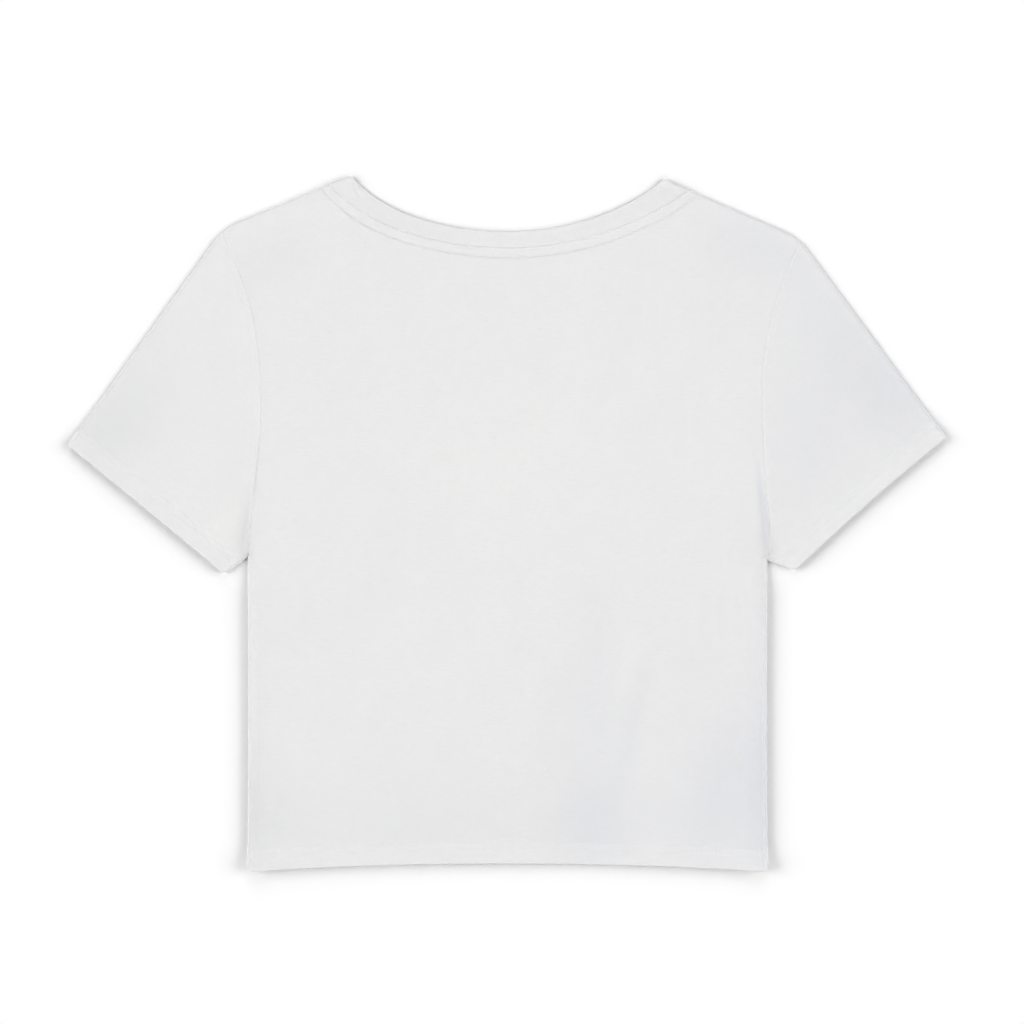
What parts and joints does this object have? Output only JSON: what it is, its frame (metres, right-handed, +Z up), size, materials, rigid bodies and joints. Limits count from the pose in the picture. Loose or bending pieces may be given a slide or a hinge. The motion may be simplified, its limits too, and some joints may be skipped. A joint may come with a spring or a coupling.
{
  "type": "crop top",
  "caption": "Cropped short-sleeve T-shirt in white slub jersey with a wide scoop neck, laid out flat with its back up.",
  "frame": {"origin": "on the surface it lies on, in the middle of the garment's footprint", "axes": "+X across the chest towards the sleeve on the right as seen from above, +Y from the hem to the neck, +Z up out of the back panel"},
  "size_m": [0.6482, 0.5142, 0.0049],
  "materials": {
    "jersey": "matt slub cotton jersey",
    "rib": "matt fine cotton rib"
  },
  "bodies": {
    "root": {"back": "jersey", "front": "jersey", "sleeve_left": "jersey", "sleeve_right": "jersey", "neckband": "rib"}
  },
  "joints": []
}
